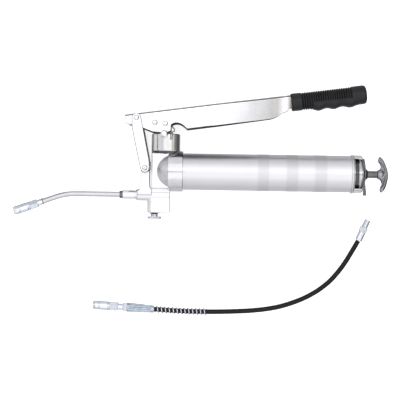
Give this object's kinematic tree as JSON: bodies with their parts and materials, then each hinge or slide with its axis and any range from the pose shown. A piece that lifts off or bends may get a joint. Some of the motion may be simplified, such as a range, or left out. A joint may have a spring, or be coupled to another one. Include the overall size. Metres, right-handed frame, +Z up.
{
  "type": "grease gun",
  "caption": "Lever-action grease gun lying on its side, with a bent rigid outlet pipe, a pull-rod follower and a spare flexible hose with its couplers beside it.",
  "frame": {"origin": "middle of the gun's own outline, without the spare hose, on the surface that it lies on", "axes": "+X along the barrel towards the T-handle, +Y from the barrel towards the lever, +Z up from the surface"},
  "size_m": [0.5868, 0.3659, 0.063],
  "materials": {
    "cast": "satin cast",
    "barrel_steel": "satin plated",
    "chrome": "polished",
    "zinc": "zinc plated",
    "steel": "bare steel",
    "rubber": "matt black",
    "seal": "matt dark brown"
  },
  "bodies": {
    "head": {"pump_head": "cast", "plunger_seal": "seal", "gland_nut": "steel", "barrel_gasket": "seal", "outlet_adapter": "chrome", "outlet_spring": "steel", "pipe_ring": "steel", "rigid_pipe": "chrome", "pipe_coupler_body": "zinc", "pipe_coupler_sleeve": "zinc", "pipe_coupler_jaws": "steel", "pipe_coupler_seal": "seal"},
    "link": {"link_plate_left": "chrome", "link_plate_right": "chrome", "link_pin_lower": "chrome", "link_pin_upper": "chrome"},
    "lever": {"lever": "chrome", "lever_bracket": "steel", "lever_rivet_front": "chrome", "lever_rivet_rear": "chrome", "plunger_pin": "chrome", "lever_clip": "steel", "grip": "rubber"},
    "plunger": {"plunger": "steel"},
    "barrel": {"barrel": "barrel_steel", "end_cap": "chrome", "follower_spring": "steel", "latch_spring": "steel"},
    "follower": {"follower_cup": "rubber", "follower_plate": "steel"},
    "pull_rod": {"pull_rod": "chrome", "follower_nut": "steel", "rod_bumper": "rubber", "t_handle": "cast"},
    "latch": {"latch_plate": "zinc"},
    "outlet_ball": {"outlet_ball": "steel"},
    "bleeder_seal": {"bleeder_washer": "seal"},
    "bleeder_screw": {"bleeder_screw": "zinc"},
    "hose": {"hose_coupler_body": "zinc", "hose_coupler_sleeve": "zinc", "hose_coupler_jaws": "steel", "hose_coupler_seal": "seal", "hose_ferrule": "zinc", "hose_spring_guard": "zinc", "hose": "rubber", "hose_end_ferrule": "zinc", "hose_end_fitting": "zinc"}
  },
  "joints": [
    {"name": "link_swing", "type": "hinge", "parent": "head", "child": "link", "pos_m": [-0.08625, -0.02816, 0.0315], "axis": [0, 0, 1], "range_deg": [0, 3.7]},
    {"name": "lever_swing", "type": "hinge", "parent": "link", "child": "lever", "pos_m": [-0.10045, 0.04914, 0.0315], "axis": [0, 0, 1], "range_deg": [0, 40]},
    {"name": "plunger_slide", "type": "slide", "parent": "head", "child": "plunger", "axis": [0, 1, 0], "range_m": [0, 0.0358]},
    {"name": "barrel_off", "type": "slide", "parent": "head", "child": "barrel", "axis": [1, 0, 0], "range_m": [0, 0.04]},
    {"name": "follower_slide", "type": "slide", "parent": "barrel", "child": "follower", "axis": [1, 0, 0], "range_m": [0, 0.2], "stiffness_N_per_m": 150, "springref_m": -0.1, "deforming": ["follower_spring"]},
    {"name": "rod_turn", "type": "hinge", "parent": "follower", "child": "pull_rod", "pos_m": [-0.05505, -0.03246, 0.0315], "axis": [1, 0, 0], "continuous": true},
    {"name": "latch_tilt", "type": "hinge", "parent": "barrel", "child": "latch", "pos_m": [0.25345, -0.01046, 0.0315], "axis": [0, 0, -1], "range_deg": [0, 2], "stiffness_Nm_per_rad": 1.5, "deforming": ["latch_spring"]},
    {"name": "outlet_ball_lift", "type": "slide", "parent": "head", "child": "outlet_ball", "axis": [-1, 0, 0], "range_m": [0, 0.0015], "stiffness_N_per_m": 250, "deforming": ["outlet_spring"]},
    {"name": "bleeder_rise", "type": "slide", "parent": "head", "child": "bleeder_seal", "axis": [0, -1, 0], "range_m": [0, 0.0019]},
    {"name": "bleeder_turn", "type": "hinge", "parent": "bleeder_seal", "child": "bleeder_screw", "pos_m": [-0.07145, -0.09766, 0.0315], "axis": [0, -1, 0], "range_deg": [0, 540]},
    {"name": "hose_slide", "type": "slide", "parent": "head", "child": "hose", "axis": [0, -1, 0], "range_m": [0, 0.06]}
  ],
  "couplings": [
    {"joint": "link_swing", "follows": "lever_swing", "ratio": 0.09},
    {"joint": "plunger_slide", "follows": "lever_swing", "m_per_rad": 0.0511},
    {"joint": "bleeder_rise", "follows": "bleeder_turn", "m_per_rad": 0.00019894}
  ]
}
